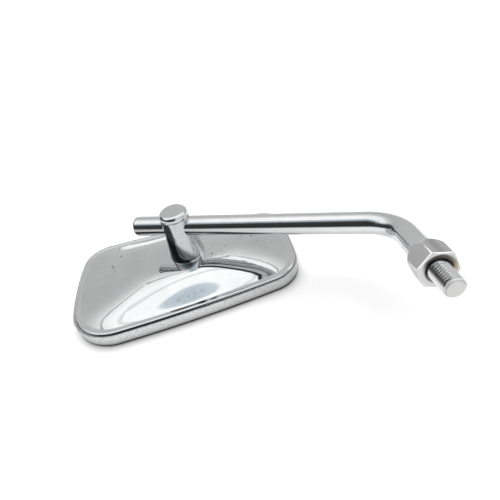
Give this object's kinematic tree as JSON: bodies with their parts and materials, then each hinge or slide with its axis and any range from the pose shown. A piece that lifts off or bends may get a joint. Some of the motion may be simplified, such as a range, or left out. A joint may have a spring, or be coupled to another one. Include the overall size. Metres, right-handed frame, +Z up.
{
  "type": "motorcycle mirror",
  "caption": "Small chrome motorcycle mirror lying glass down: trapezoid domed head on a clamp post, bent round arm, domed lock nut and threaded stud.",
  "frame": {"origin": "middle of the footprint of the mirror as it lies on its rim, on the surface that it lies on", "axes": "+X along the straight run of the arm towards the bend, +Z up out of the domed back"},
  "size_m": [0.1906, 0.0966, 0.0483],
  "materials": {
    "chrome": "bright chrome plate with light wear",
    "nut_plating": "satin zinc plate, worn at the edges",
    "inner_steel": "plain zinc plated steel",
    "friction_plastic": "natural nylon",
    "rubber": "matt black rubber",
    "mirror": "silvered flat glass"
  },
  "bodies": {
    "arm": {"arm": "chrome"},
    "lock_nut": {"lock_nut": "nut_plating"},
    "clamp": {"clamp_bolt": "chrome", "post_sleeve": "chrome", "disc_spring": "inner_steel", "retaining_nut": "inner_steel"},
    "head": {"back_shell": "chrome", "stiffener_plate": "inner_steel", "friction_washer": "friction_plastic", "backing_pad": "rubber", "mirror_glass": "mirror", "glazing_gasket": "rubber", "rim": "chrome"}
  },
  "joints": [
    {"name": "head_tilt", "type": "hinge", "parent": "arm", "child": "clamp", "pos_m": [-0.02723, 0.00337, 0.0336], "axis": [1, 0, 0], "continuous": true},
    {"name": "head_swivel", "type": "hinge", "parent": "clamp", "child": "head", "pos_m": [-0.02723, 0.00337, 0.01595], "axis": [0, 0, 1], "continuous": true},
    {"name": "nut_turn", "type": "hinge", "parent": "arm", "child": "lock_nut", "pos_m": [0.08791, -0.03332, 0.04106], "axis": [0.304, -0.9335, 0.1899], "continuous": true}
  ]
}
